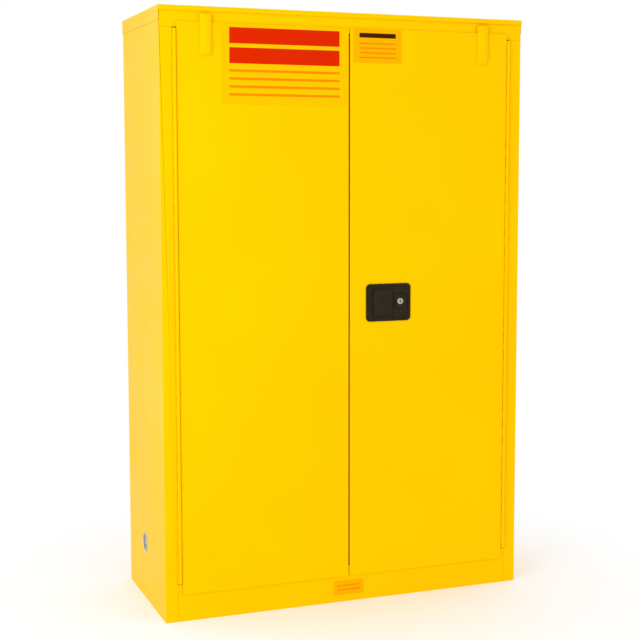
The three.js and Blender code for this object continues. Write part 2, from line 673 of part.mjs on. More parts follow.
function handleDish() {
  const flange = extrudeY(
    roundedRectangle(DISH.width, DISH.height, DISH.corner),
    FLANGE_FRONT_Y,
    FACE_Y - GAP,
    4,
  ).translate(HANDLE.x, 0, HANDLE.z);
  const [tubX, tubZ] = dishLimits(DISH.tubInset);
  const tub = block(tubX, [FACE_Y - 1, DISH_BACK_Y], tubZ);
  const bossShape = roundedRectangle(LOCK_BOSS.width, LOCK_BOSS.height, LOCK_BOSS.corner);
  const boss = extrudeY(bossShape, LOCK_BOSS_Y, FACE_Y, 3).translate(LOCK.x, 0, LOCK.z);
  const pocket = block(POCKET.x, [LOCK_BOSS_Y - OVERCUT, POCKET.backY], POCKET.z);
  const lockBore = rod("y", LOCK.r + GAP, 80, 20).translate(LOCK.x, FACE_Y, LOCK.z);
  const pinBore = rod("z", PADDLE_PIN.r + GAP, 90, 10).translate(PADDLE_PIN.x, PADDLE_PIN.y, HANDLE.z);
  const hollowBehindLock = block(
    [POCKET.x[1] + LOCK_HOLLOW.rib, tubX[1] - LOCK_HOLLOW.wall],
    [FACE_Y + LOCK_HOLLOW.front, DISH_BACK_Y + OVERCUT],
    [tubZ[0] + LOCK_HOLLOW.wall, LOCK.z - LOCK_HOLLOW.belowLock],
  );
  const geometry = combine(flange, [tub, boss], [pocket, lockBore, pinBore, hollowBehindLock]);
  return node("handle_dish", geometry, BLACK());
}

function paddle() {
  const front = FLANGE_FRONT_Y - PADDLE.sunk;
  const { x, y, r, barrelR } = PADDLE_PIN;
  const plate = block(PADDLE.x, [front, front + PADDLE.thickness], PADDLE.z);
  const barrel = rod("z", barrelR, PADDLE.z[1] - PADDLE.z[0], 12).translate(x, y, HANDLE.z);
  const pullLip = block(
    [PADDLE.x[0], PADDLE.x[0] + PADDLE_LIP.thickness],
    [front, front + PADDLE_LIP.depth],
    [PADDLE.z[0] + PADDLE_LIP.inset, PADDLE.z[1] - PADDLE_LIP.inset],
  );
  const finger = block(
    PADDLE_FINGER.x.map((offset) => x + offset),
    PADDLE_FINGER.y.map((offset) => y + offset),
    [HANDLE.z - PADDLE_FINGER.halfHeight, HANDLE.z + PADDLE_FINGER.halfHeight],
  );
  const bore = rod("z", r + GAP, 100, 12).translate(x, y, HANDLE.z);
  return node("paddle", combine(plate, [barrel, pullLip, finger], [bore]), BLACK());
}

function lock() {
  const group = new THREE.Group();
  group.position.set(LOCK.x, 0, LOCK.z);
  const front = LOCK_BOSS_Y - LOCK_FACE.proud;
  const camFrontY = DISH_BACK_Y + 2 * GAP;
  const camY = [camFrontY, camFrontY + LOCK_CAM.thickness];
  const plugLength = camY[0] - GAP - front;
  const { keyHalfWidth, keyHalfHeight, keyDepth } = LOCK_FACE;
  const keyway = block(
    [-keyHalfWidth, keyHalfWidth],
    [front - OVERCUT, front + keyDepth],
    [-keyHalfHeight, keyHalfHeight],
  );
  const half = LOCK.square / 2;
  const plug = combine(
    rod("y", LOCK.r, plugLength, 20).translate(0, front + plugLength / 2, 0),
    [block([-half, half], [camY[0] - 1, camY[1]], [-half, half])],
    [keyway],
  );
  group.add(node("lock_plug", plug, CHROME()));
  const hole = half + GAP;
  const cam = combine(
    rod("y", LOCK_CAM.hubR, LOCK_CAM.thickness, 16).translate(0, (camY[0] + camY[1]) / 2, 0),
    [block([-LOCK_CAM.halfWidth, LOCK_CAM.halfWidth], camY, [-LOCK_CAM.reach, 0])],
    [block([-hole, hole], [camY[0] - OVERCUT, camY[1] + OVERCUT], [-hole, hole])],
  );
  group.add(node("lock_cam", cam, ZINC()));
  return group;
}

const ROTOR_Y = [JAMB_Y + LATCH_DEPTH.rotorFront, JAMB_Y + LATCH_DEPTH.rotorBack];

// The three-armed plate that throws all three bolts, on the stud of its backing plate.
function latch() {
  const group = new THREE.Group();
  group.position.set(HANDLE.x, 0, HANDLE.z);
  const arms = [
    [ROTOR.rodArm, 0],
    [-ROTOR.rodArm, 0],
    [0, ROTOR.boltArm],
  ];
  const pinEndY = ROD_Y[1] + 1;
  const pins = arms.map(([x, z]) =>
    rod("y", ROTOR.pinR, pinEndY - ROTOR_Y[0], 12).translate(x, (ROTOR_Y[0] + pinEndY) / 2, z),
  );
  const half = ROTOR.armHalfWidth;
  const [crossEnd, upEnd] = [ROTOR.rodArm + ROTOR.armEnd, ROTOR.boltArm + ROTOR.armEnd];
  const crossBar = block([-crossEnd, crossEnd], ROTOR_Y, [-half, half]);
  const upBar = block([-half, half], ROTOR_Y, [0, upEnd]);
  const hub = rod("y", ROTOR.hubR + GAP, 10, 16).translate(0, (ROTOR_Y[0] + ROTOR_Y[1]) / 2, 0);
  group.add(node("latch_rotor", combine(crossBar, [upBar, ...pins], [hub]), ZINC()));
  const { halfWidth, halfHeight, thickness } = LATCH_PLATE;
  const backY = PAN_BACK_Y - SHEET - GAP;
  const plate = block([-halfWidth, halfWidth], [backY - thickness, backY], [-halfHeight, halfHeight]);
  const stud = rod("y", ROTOR.hubR, backY - ROTOR_Y[0], 16);
  stud.translate(0, (backY + ROTOR_Y[0]) / 2, 0);
  group.add(node("latch_plate", combine(plate, [stud]), ZINC()));
  return group;
}

// The slotted end that rides on a rotor pin. It is as much longer than the pin as the arm swings.
function pinSlot(x, z, swing, vertical) {
  const tall = ROTOR.pinR + BOLT_THROW_CLEARANCE;
  const [left, right] = vertical ? [tall, tall] : [ROTOR.pinR + swing, tall];
  const [down, up] = vertical ? [ROTOR.pinR + swing, tall] : [tall, tall];
  return block([x - left, x + right], [ROD_Y[0] - OVERCUT, ROD_Y[1] + OVERCUT], [z - down, z + up]);
}

function topRod() {
  const x = TOP_BOLT_X;
  const half = ROD.width / 2;
  const { near, far, halfHeight, overlap, endGap } = ROD_EYE;
  const bar = block([x - half, x + half], ROD_Y, [HANDLE.z + overlap, HINGE_TOP_Z - endGap]);
  const eye = block([x - far, x + near], ROD_Y, [HANDLE.z - halfHeight, HANDLE.z + halfHeight]);
  const slot = pinSlot(x, HANDLE.z, ROD_SWING, false);
  return node("top_rod", combine(bar, [eye], [slot]), ZINC());
}

function bottomRod() {
  const x = BOTTOM_BOLT_X;
  const half = ROD.width / 2;
  const { near, far, halfHeight, overlap, endGap } = ROD_EYE;
  const bar = block([x - half, x + half], ROD_Y, [HINGE_BOTTOM_Z + endGap, HANDLE.z - overlap]);
  const eye = block([x - near, x + far], ROD_Y, [HANDLE.z - halfHeight, HANDLE.z + halfHeight]);
  const slot = pinSlot(-x, HANDLE.z, ROD_SWING, false).rotateZ(Math.PI).translate(0, 2 * ROD_MID_Y, 0);
  return node("bottom_rod", combine(bar, [eye], [slot]), ZINC());
}

function centreBolt() {
  const { halfHeight, halfThickness, tip } = CENTRE_BOLT;
  const z = CENTRE_BOLT_Z;
  const bar = block(
    [PAN_EDGE_X + tip, HANDLE.x - BOLT_EYE.overlap],
    [ROD_MID_Y - halfThickness, ROD_MID_Y + halfThickness],
    [z - halfHeight, z + halfHeight],
  );
  const eye = block(
    [HANDLE.x - BOLT_EYE.left, HANDLE.x + BOLT_EYE.right],
    ROD_Y,
    [z - BOLT_EYE.down, z + BOLT_EYE.up],
  );
  const slot = pinSlot(HANDLE.x, z, BOLT_SWING, true);
  return node("centre_bolt", combine(bar, [eye], [slot]), ZINC());
}

function rodGuide(name, x, z) {
  const { halfWidth, halfHeight, front, clearance } = ROD_GUIDE;
  const bridge = block(
    [x - halfWidth, x + halfWidth],
    [ROD_Y[0] - front, PAN_BACK_Y - SHEET - GAP],
    [z - halfHeight, z + halfHeight],
  );
  const half = ROD.width / 2 + 1;
  const channel = block(
    [x - half, x + half],
    [ROD_Y[0] - clearance, ROD_Y[1] + clearance],
    [z - halfHeight - OVERCUT, z + halfHeight + OVERCUT],
  );
  return node(name, combine(bridge, [], [channel]), BLACK());
}

// A plate or cut-out across the back of the door's inner pan, around the latch.
function acrossPan({ halfWidth, halfHeight }, y) {
  return block(
    [HANDLE.x - halfWidth, HANDLE.x + halfWidth],
    y,
    [HANDLE.z - halfHeight, HANDLE.z + halfHeight],
  );
}

function rightDoor() {
  const group = new THREE.Group();
  const topHole = boltSlot(TOP_BOLT_X, HINGE_TOP_Z, SLOT_MARGIN.door);
  const bottomHole = boltSlot(BOTTOM_BOLT_X, HINGE_BOTTOM_Z, SLOT_MARGIN.door);
  const window = acrossPan(LATCH_WINDOW, [PAN_BACK_Y - OVERCUT, PAN_BACK_Y + OVERCUT]);
  const [cutX, cutZ] = dishLimits(DISH.cutoutInset);
  group.add(doorSkin("right", 1, [block(cutX, [FACE_Y - OVERCUT, SKIN_INNER_Y + OVERCUT], cutZ)]));
  const boltHole = centreBoltSlot(1, SLOT_MARGIN.door);
  group.add(doorPan("right", 1, [topHole, bottomHole, window, boltHole]));
  group.add(stiffener("right", 1));
  group.add(handleDish(), paddle(), lock(), latch(), topRod(), bottomRod(), centreBolt());
  const pin = rod("z", PADDLE_PIN.r, PADDLE_PIN.length, 10);
  group.add(node("paddle_pin", pin, ZINC(), [PADDLE_PIN.x, PADDLE_PIN.y, HANDLE.z]));
  group.add(rodGuide("top_rod_guide", TOP_BOLT_X, HINGE_TOP_Z - ROD_GUIDE.fromPanEdge));
  group.add(rodGuide("bottom_rod_guide", BOTTOM_BOLT_X, HINGE_BOTTOM_Z + ROD_GUIDE.fromPanEdge));
  const cover = acrossPan(LATCH_COVER, [PAN_BACK_Y + GAP, PAN_BACK_Y + GAP + SHEET]);
  group.add(node("latch_cover", cover, YELLOW()));
  return group;
}

// ---- Plain film labels ----

function labels() {
  const group = new THREE.Group();
  for (const [name, { x, z }] of Object.entries(LABELS)) {
    const faceY = name === "sill" ? JAMB_Y : FACE_Y;
    group.add(node(`label_${name}`, block(x, [faceY - 2 * GAP, faceY - GAP], z), FILM()));
  }
  return group;
}

// ---- The cabinet ----

const cabinet = new THREE.Group();
cabinet.add(shell(), liner(), groundScrew(), shelving());
for (const [name, side] of SIDES) cabinet.add(vent(name, side), hinge(name, side));
cabinet.add(leftDoor(), rightDoor(), labels());

export default cabinet;
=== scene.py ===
"""Looks of a two-door flammable storage cabinet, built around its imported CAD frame.

Metres, +Z up, doors facing -Y. Places come from the CAD nodes' boxes.
"""
import math

import bmesh
import bpy
from mathutils import Matrix, Vector


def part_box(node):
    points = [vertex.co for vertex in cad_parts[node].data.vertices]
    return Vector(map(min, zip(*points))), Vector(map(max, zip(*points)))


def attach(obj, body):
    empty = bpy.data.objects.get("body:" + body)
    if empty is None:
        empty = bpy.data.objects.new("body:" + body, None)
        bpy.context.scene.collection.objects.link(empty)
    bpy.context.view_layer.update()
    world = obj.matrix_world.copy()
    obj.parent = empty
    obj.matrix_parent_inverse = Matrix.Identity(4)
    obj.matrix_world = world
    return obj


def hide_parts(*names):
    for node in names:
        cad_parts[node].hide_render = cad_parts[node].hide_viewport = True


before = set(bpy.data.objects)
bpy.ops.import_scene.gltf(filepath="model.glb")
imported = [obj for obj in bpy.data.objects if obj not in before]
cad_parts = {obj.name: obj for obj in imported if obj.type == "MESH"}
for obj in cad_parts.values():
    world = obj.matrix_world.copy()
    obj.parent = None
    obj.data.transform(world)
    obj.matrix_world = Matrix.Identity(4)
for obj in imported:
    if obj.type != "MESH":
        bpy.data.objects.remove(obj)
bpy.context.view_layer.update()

MM = 0.001
SIDES = (("left", -1), ("right", 1))
LEVELS = ("lower", "upper")


# ---- Camera, light and floor ----

CAMERA_PLACE = Vector((-1.374, -3.659, 1.224))
CAMERA_AZIMUTH = math.radians(-21.3)
CAMERA_PITCH = math.radians(5.6)
CAMERA_LENS = 75.2
CAMERA_SHIFT = (-0.03, -0.03)

KEY_AZIMUTH = math.radians(-50)
KEY_ELEVATION = math.radians(10)
KEY_DISTANCE = 2.7
KEY_SIZE = (1.4, 1.6)
KEY_POWER = 21
KEY_TARGET = Vector((0, 0, 0.8))

FLOOR_HALF = 30
FLOOR_FADE = (0.3, 1.2)


def turned_towards(azimuth, elevation):
    """The rotation of a camera or lamp that looks back along that azimuth and elevation, in radians."""
    right = Vector((math.cos(azimuth), math.sin(azimuth), 0))
    back = Vector((
        math.sin(azimuth) * math.cos(elevation),
        -math.cos(azimuth) * math.cos(elevation),
        math.sin(elevation),
    ))
    return Matrix((right, back.cross(right), back)).transposed().to_4x4()


def make_camera():
    data = bpy.data.cameras.new("camera")
    data.sensor_width = 36
    data.lens = CAMERA_LENS
    data.shift_x, data.shift_y = CAMERA_SHIFT
    camera = bpy.data.objects.new("camera", data)
    camera.matrix_world = Matrix.Translation(CAMERA_PLACE) @ turned_towards(CAMERA_AZIMUTH, CAMERA_PITCH)
    bpy.context.scene.collection.objects.link(camera)
    bpy.context.scene.camera = camera


def make_key_light():
    data = bpy.data.lights.new("key", "AREA")
    data.shape = "RECTANGLE"
    data.size, data.size_y = KEY_SIZE
    data.energy = KEY_POWER
    lamp = bpy.data.objects.new("key", data)
    turn = turned_towards(KEY_AZIMUTH, KEY_ELEVATION)
    lamp.matrix_world = Matrix.Translation(KEY_TARGET) @ turn @ Matrix.Translation((0, 0, KEY_DISTANCE))
    bpy.context.scene.collection.objects.link(lamp)


def make_world():
    world = bpy.data.worlds.new("studio")
    world.use_nodes = True
    background = world.node_tree.nodes["Background"]
    background.inputs["Color"].default_value = (1, 1, 1, 1)
    background.inputs["Strength"].default_value = 1.0
    bpy.context.scene.world = world
    bpy.context.scene.view_settings.view_transform = "Standard"


def make_floor():
    corners = [(-1, -1), (1, -1), (1, 1), (-1, 1)]
    mesh = bpy.data.meshes.new("floor")
    mesh.from_pydata([(x * FLOOR_HALF, y * FLOOR_HALF, 0) for x, y in corners], [], [(0, 1, 2, 3)])
    mesh.materials.append(pale_floor())
    floor = bpy.data.objects.new("floor", mesh)
    bpy.context.scene.collection.objects.link(floor)


# ---- Materials ----

def pale_floor():
    """Matt near the cabinet, and fading outwards to the white of the studio."""
    made = surface("floor", (0.95, 0.95, 0.95), 0.8, specular=0.05)
    tree = made.node_tree
    place = tree.nodes.new("ShaderNodeTexCoord")
    distance = tree.nodes.new("ShaderNodeVectorMath")
    distance.operation = "LENGTH"
    fade = tree.nodes.new("ShaderNodeMapRange")
    fade.interpolation_type = "SMOOTHSTEP"
    fade.inputs["From Min"].default_value, fade.inputs["From Max"].default_value = FLOOR_FADE
    glow = tree.nodes.new("ShaderNodeEmission")
    blend = tree.nodes.new("ShaderNodeMixShader")
    tree.links.new(place.outputs["Object"], distance.inputs[0])
    tree.links.new(distance.outputs["Value"], fade.inputs["Value"])
    tree.links.new(fade.outputs["Result"], blend.inputs["Fac"])
    tree.links.new(tree.nodes["Principled BSDF"].outputs["BSDF"], blend.inputs[1])
    tree.links.new(glow.outputs["Emission"], blend.inputs[2])
    tree.links.new(blend.outputs["Shader"], tree.nodes["Material Output"].inputs["Surface"])
    return made


def surface(name, color, roughness, metallic=0.0, specular=0.5, gloss_tint=(1, 1, 1)):
    made = bpy.data.materials.new(name)
    made.use_nodes = True
    shader = made.node_tree.nodes["Principled BSDF"]
    shader.inputs["Base Color"].default_value = (*color, 1)
    shader.inputs["Roughness"].default_value = roughness
    shader.inputs["Metallic"].default_value = metallic
    shader.inputs["Specular IOR Level"].default_value = specular
    shader.inputs["Specular Tint"].default_value = (*gloss_tint, 1)
    return made


def texture(made, kind, scale, stretch=(1, 1, 1), **inputs):
    """A texture node of that kind over the object's own coordinates, with scale cells to the metre."""
    tree = made.node_tree
    place = tree.nodes.new("ShaderNodeTexCoord")
    mapping = tree.nodes.new("ShaderNodeMapping")
    mapping.inputs["Scale"].default_value = stretch
    node = tree.nodes.new(kind)
    node.inputs["Scale"].default_value = scale
    for key, value in inputs.items():
        node.inputs[key].default_value = value
    tree.links.new(place.outputs["Object"], mapping.inputs["Vector"])
    tree.links.new(mapping.outputs["Vector"], node.inputs["Vector"])
    return node


def noise(made, scale, detail=2.0, stretch=(1, 1, 1)):
    return texture(made, "ShaderNodeTexNoise", scale, stretch, Detail=detail).outputs["Fac"]


def spangle(made, scale):
    cells = texture(made, "ShaderNodeTexVoronoi", scale)
    split = made.node_tree.nodes.new("ShaderNodeSeparateColor")
    made.node_tree.links.new(cells.outputs["Color"], split.inputs["Color"])
    return split.outputs["Red"]


# Most of a noise texture's values lie between these.
NOISE_SPAN = (0.3, 0.7)


def tint(made, factor, dark, light, low=NOISE_SPAN[0], high=NOISE_SPAN[1]):
    """Base colour from dark to light as factor goes from low to high."""
    ramp = made.node_tree.nodes.new("ShaderNodeValToRGB")
    first, last = ramp.color_ramp.elements
    first.position, first.color = low, (*dark, 1)
    last.position, last.color = high, (*light, 1)
    made.node_tree.links.new(factor, ramp.inputs["Fac"])
    shader = made.node_tree.nodes["Principled BSDF"]
    made.node_tree.links.new(ramp.outputs["Color"], shader.inputs["Base Color"])


def roughness_range(made, factor, smooth, rough):
    """Roughness from smooth to rough as factor goes through the noise's span."""
    spread = made.node_tree.nodes.new("ShaderNodeMapRange")
    spread.inputs["From Min"].default_value, spread.inputs["From Max"].default_value = NOISE_SPAN
    spread.inputs["To Min"].default_value = smooth
    spread.inputs["To Max"].default_value = rough
    made.node_tree.links.new(factor, spread.inputs["Value"])
    shader = made.node_tree.nodes["Principled BSDF"]
    made.node_tree.links.new(spread.outputs["Result"], shader.inputs["Roughness"])


def bump(made, height, depth):
    """Raises the surface by depth where height is 1, on top of any bump that is already there."""
    tree = made.node_tree
    node = tree.nodes.new("ShaderNodeBump")
    node.inputs["Distance"].default_value = depth
    tree.links.new(height, node.inputs["Height"])
    normal = tree.nodes["Principled BSDF"].inputs["Normal"]
    if normal.is_linked:
        tree.links.new(normal.links[0].from_socket, node.inputs["Normal"])
    tree.links.new(node.outputs["Normal"], normal)


# Tints the reflections in the paint and in the films.
YELLOW_GLOSS = (1, 0.62, 0.05)


def powder_coat():
    light = (0.96, 0.56, 0.0)
    made = surface("powder_coat", light, 0.4, specular=0.06, gloss_tint=YELLOW_GLOSS)
    tint(made, noise(made, 2.2, 4.0), (0.93, 0.53, 0.0), light)
    roughness_range(made, noise(made, 9.0, 3.0), 0.33, 0.43)
    bump(made, noise(made, 3.5, 1.0), 0.5 * MM)
    bump(made, noise(made, 420.0, 1.0), 0.02 * MM)
    return made


def galvanised():
    made = surface("galvanised", (0.56, 0.58, 0.6), 0.42, metallic=1.0)
    cells = spangle(made, 55.0)
    tint(made, cells, (0.47, 0.49, 0.51), (0.63, 0.65, 0.67), 0.0, 1.0)
    roughness_range(made, cells, 0.34, 0.5)
    bump(made, noise(made, 160.0, 3.0), 0.03 * MM)
    return made


def zinc():
    light = (0.66, 0.65, 0.62)
    made = surface("zinc", light, 0.34, metallic=1.0)
    tint(made, noise(made, 45.0, 5.0), (0.5, 0.48, 0.43), light)
    roughness_range(made, noise(made, 120.0, 4.0), 0.25, 0.42)
    bump(made, noise(made, 900.0, 2.0, (1, 1, 0.08)), 0.01 * MM)
    return made


def moulded_black():
    made = surface("moulded_black", (0.014, 0.009, 0.004), 0.4, specular=0.2, gloss_tint=(1, 0.85, 0.6))
    tint(made, noise(made, 60.0, 3.0), (0.011, 0.007, 0.003), (0.017, 0.011, 0.005))
    roughness_range(made, noise(made, 90.0, 3.0), 0.34, 0.46)
    bump(made, noise(made, 1500.0, 2.0), 0.03 * MM)
    return made


def polished():
    made = surface("polished", (0.42, 0.4, 0.37), 0.28, metallic=1.0)
    tint(made, noise(made, 300.0, 4.0), (0.34, 0.32, 0.29), (0.47, 0.45, 0.42))
    roughness_range(made, noise(made, 500.0, 3.0), 0.22, 0.34)
    bump(made, noise(made, 1200.0, 2.0), 0.01 * MM)
    return made


def gauze():
    made = surface("gauze", (0.3, 0.29, 0.27), 0.45, metallic=1.0)
    tint(made, noise(made, 250.0, 3.0), (0.2, 0.19, 0.17), (0.38, 0.37, 0.34))
    roughness_range(made, noise(made, 400.0, 2.0), 0.38, 0.52)
    bump(made, noise(made, 3000.0, 1.0), 0.005 * MM)
    return made


def film(name, color):
    """Printed vinyl: an even colour with a faint mottle, smooth and a little glossy."""
    made = surface(name, color, 0.34, specular=0.1, gloss_tint=YELLOW_GLOSS)
    tint(made, noise(made, 35.0, 3.0), tuple(0.96 * c for c in color), color)
    roughness_range(made, noise(made, 60.0, 2.0), 0.26, 0.36)
    bump(made, noise(made, 700.0, 1.0), 0.008 * MM)
    return made


# ---- Shapes ----

SHARP_ANGLE = math.radians(32)
BEVEL_ANGLE = math.radians(35)
WELD_REACH = 0.01 * MM


class Shape:
    """The points and faces of one piece, in the part's frame."""

    def __init__(self):
        self.points = []
        self.faces = []

    def loft(self, loops):
        """Skins a row of loops with equally many points, and closes both ends."""
        start = len(self.points)
        count = len(loops[0])
        for loop in loops:
            self.points.extend(loop)
        for row in range(len(loops) - 1):
            low, high = start + row * count, start + (row + 1) * count
            for i in range(count):
                j = (i + 1) % count
                self.faces.append((low + i, low + j, high + j, high + i))
        last = start + (len(loops) - 1) * count
        self.faces.append(tuple(range(start, start + count)))
        self.faces.append(tuple(range(last, last + count)))
        return self

    def prism(self, outline, along):
        return self.loft([outline, [p + along for p in outline]])

    def block(self, low, high):
        outline = [
            Vector((low[0], low[1], low[2])),
            Vector((high[0], low[1], low[2])),
            Vector((high[0], high[1], low[2])),
            Vector((low[0], high[1], low[2])),
        ]
        return self.prism(outline, Vector((0, 0, high[2] - low[2])))

    def lathe(self, origin, axis, profile, sides=40):
        """Turns (radius, height along axis) points about an axis through origin."""
        loops = [circle(origin + height * axis, axis, radius, sides) for radius, height in profile]
        return self.loft(loops)

    def ring(self, origin, axis, profile, sides=40):
        """As lathe, for a profile that closes on itself and stays off the axis."""
        start = len(self.points)
        count = len(profile)
        for radius, height in profile:
            self.points.extend(circle(origin + height * axis, axis, radius, sides))
        for row in range(count):
            low, high = start + row * sides, start + (row + 1) % count * sides
            for i in range(sides):
                j = (i + 1) % sides
                self.faces.append((low + i, low + j, high + j, high + i))
        return self

    def piece(self, name, body, made, bevel=0.0, stands_for=()):
        mesh = bpy.data.meshes.new(name)
        mesh.from_pydata(self.points, [], self.faces)
        mesh.validate()
        turn_faces_out(mesh)
        mesh.shade_smooth()
        mesh.set_sharp_from_angle(angle=SHARP_ANGLE)
        mesh.materials.append(made)
        item = bpy.data.objects.new(name, mesh)
        bpy.context.scene.collection.objects.link(item)
        if bevel:
            round_edges(item, bevel)
        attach(item, body)
        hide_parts(*stands_for)
        return item


def turn_faces_out(mesh):
    work = bmesh.new()
    work.from_mesh(mesh)
    bmesh.ops.recalc_face_normals(work, faces=work.faces)
    work.to_mesh(mesh)
    work.free()


def round_edges(item, width):
    bevel = item.modifiers.new("rounding", "BEVEL")
    bevel.width = width
    bevel.segments = 2
    bevel.limit_method = "ANGLE"
    bevel.angle_limit = BEVEL_ANGLE
    shading = item.modifiers.new("shading", "WEIGHTED_NORMAL")
    shading.keep_sharp = False


def circle(centre, axis, radius, sides):
    across = axis.orthogonal().normalized()
    other = axis.cross(across)
    turns = [2 * math.pi * i / sides for i in range(sides)]
    return [centre + radius * (math.cos(t) * across + math.sin(t) * other) for t in turns]


def rounded_loop(x, z, radius, y, steps=6):
    """A rectangle with rounded corners in a plane that faces the front. x and z are its two limits."""
    centres = [
        (x[1] - radius, z[0] + radius, -90),
        (x[1] - radius, z[1] - radius, 0),
        (x[0] + radius, z[1] - radius, 90),
        (x[0] + radius, z[0] + radius, 180),
    ]
    loop = []
    for cx, cz, first in centres:
        for i in range(steps + 1):
            turn = math.radians(first + 90 * i / steps)
            loop.append(Vector((cx + radius * math.cos(turn), y, cz + radius * math.sin(turn))))
    return loop


def inset(limits, amount):
    return (limits[0] + amount, limits[1] - amount)


def around(centre, size):
    return (centre - size / 2, centre + size / 2)


# ---- Carried-over CAD nodes ----

def dress(nodes, made, rounding):
    for name in nodes:
        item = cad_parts[name]
        item.material_slots[0].material = made
        weld = item.modifiers.new("weld", "WELD")
        weld.merge_threshold = WELD_REACH
        round_edges(item, rounding)


def dress_cad(paint, steel, plate, black):
    panels = ["outer_side_left", "outer_side_right", "outer_back", "base_pan", "top_cover", "header", "sill"]
    panels += ["inner_side_left", "inner_side_right", "inner_back", "inner_top", "sump_pan", "latch_cover"]
    for side, _ in SIDES:
        panels += [f"door_{side}_skin", f"door_{side}_pan"]
    dress(panels, paint, 0.5 * MM)
    dress([f"shelf_{level}" for level in LEVELS], steel, 0.5 * MM)
    plated = ["header_strike", "sill_strike", "left_strike", "lock_cam", "latch_rotor", "latch_plate"]
    plated += ["top_rod", "bottom_rod", "centre_bolt"]
    for level in LEVELS:
        for side, _ in SIDES:
            plated += [f"clip_{level}_{side}_front", f"clip_{level}_{side}_rear"]
    dress(plated, plate, 0.3 * MM)
    dress(["top_rod_guide", "bottom_rod_guide", "paddle_pin"], black, 0.4 * MM)


# ---- Continuous hinges ----

KNUCKLE = 25.4 * MM
KNUCKLE_GAP = 0.3 * MM
LEAF_SHEET = 1.5 * MM
BARREL_R = 4.5 * MM
HINGE_PIN_R = 2.9 * MM
LEAF_START = 2.3 * MM


def strip(line, thickness):
    """The outline of a bent strip with that centre line, in two dimensions."""
    left, right = [], []
    for i, point in enumerate(line):
        before = line[max(i - 1, 0)]
        after = line[min(i + 1, len(line) - 1)]
        along = (after - before).normalized()
        across = Vector((-along.y, along.x)) * thickness / 2
        left.append(point + across)
        right.append(point - across)
    return left + right[::-1]


def hinge(name, side, paint, plate):
    pin_low, pin_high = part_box(f"hinge_{name}_pin")
    axis_x, axis_y = (pin_low.x + pin_high.x) / 2, (pin_low.y + pin_high.y) / 2
    low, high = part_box(f"hinge_{name}_frame_leaf")
    reach = max(abs(low.x - axis_x), abs(high.x - axis_x))
    depth = high.y - axis_y
    count = 2 * round((high.z - low.z) / KNUCKLE / 2)
    pitch = (high.z - low.z) / count
    curl_r = BARREL_R - LEAF_SHEET / 2
    plate_u = reach - LEAF_SHEET / 2
    line = [Vector((plate_u, 6 * MM)), Vector((plate_u, 3 * MM)), Vector((curl_r + 0.5 * MM, 2 * MM))]
    line += [Vector((curl_r * math.cos(t), curl_r * math.sin(t)))
             for t in (math.radians(-15 * i) for i in range(20))]
    curl = strip(line, LEAF_SHEET)
    for kind, body, outward, first in (
        ("frame", "cabinet", side, 0),
        ("door", f"door_{name}", -side, 1),
    ):
        leaf = Shape()
        inner, outer = sorted((axis_x + outward * (reach - LEAF_SHEET), axis_x + outward * reach))
        leaf.block((inner, axis_y + LEAF_START, low.z), (outer, axis_y + depth, high.z))
        for i in range(first, count, 2):
            z = low.z + i * pitch + KNUCKLE_GAP / 2
            outline = [Vector((axis_x + outward * p.x, axis_y + p.y, z)) for p in curl]
            leaf.prism(outline, Vector((0, 0, pitch - KNUCKLE_GAP)))
        leaf.piece(f"hinge_{name}_{kind}_knuckles", body, paint,
                   stands_for=[f"hinge_{name}_{kind}_leaf"])
    pin = Shape()
    length = high.z - low.z
    pin.lathe(Vector((axis_x, axis_y, low.z)), Vector((0, 0, 1)), [
        (0.6 * HINGE_PIN_R, 0.2 * MM),
        (HINGE_PIN_R, 1.2 * MM),
        (HINGE_PIN_R, length - 1.2 * MM),
        (0.6 * HINGE_PIN_R, length - 0.2 * MM),
    ], 20)
    pin.piece(f"hinge_{name}_pin_fine", "cabinet", plate, stands_for=[f"hinge_{name}_pin"])


# ---- Door pressings ----

TOE = 20 * MM
TOE_STEPS = 6
ARC_STEPS = 20


def stiffener(name, paint):
    """A half-round pressing, closed at the top and running out in a rounded toe at the bottom."""
    low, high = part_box(f"door_{name}_stiffener")
    middle = (low.x + high.x) / 2
    half, rise = (high.x - low.x) / 2, high.y - low.y
    sections = [(high.z, 0.94), (high.z - 0.6 * MM, 1.0), (low.z + TOE, 1.0)]
    sections += [(low.z + TOE * (1 - math.sin(t)), max(math.cos(t), 0.03))
                 for t in (math.radians(90 / TOE_STEPS * i) for i in range(1, TOE_STEPS + 1))]
    arc = [math.pi * i / ARC_STEPS for i in range(ARC_STEPS + 1)]
    shape = Shape()
    loops = []
    for z, size in sections:
        width = half * (0.72 + 0.28 * size)
        loops.append([Vector((middle - width * math.cos(t), high.y - rise * size * math.sin(t) ** 0.8, z))
                      for t in arc])
    shape.loft(loops)
    shape.piece(f"door_{name}_pressing", f"door_{name}", paint,
                stands_for=[f"door_{name}_stiffener"])


# ---- Handle and lock ----

RIM_WIDTH = 7 * MM
TRAY_DEPTH = 2.2 * MM
BOSS_STAND = 3 * MM
BOSS_WIDTH = 33 * MM
BOSS_HEIGHT = 44 * MM
HANDLE_SCREW_R = 3.2 * MM
HANDLE_SCREW_X = 14.4 * MM
HANDLE_SCREW_Z = (40 * MM, -18 * MM)
COVER_SCREW_R = 3.6 * MM
COVER_SCREW_EDGE = 8 * MM
BEZEL_BACK = 3.4 * MM


def handle_planes():
    """The dish's limits in x and z, and the y of its bezel's front."""
    low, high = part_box("handle_dish")
    return (low.x, high.x), (low.z, high.z), low.y + BOSS_STAND


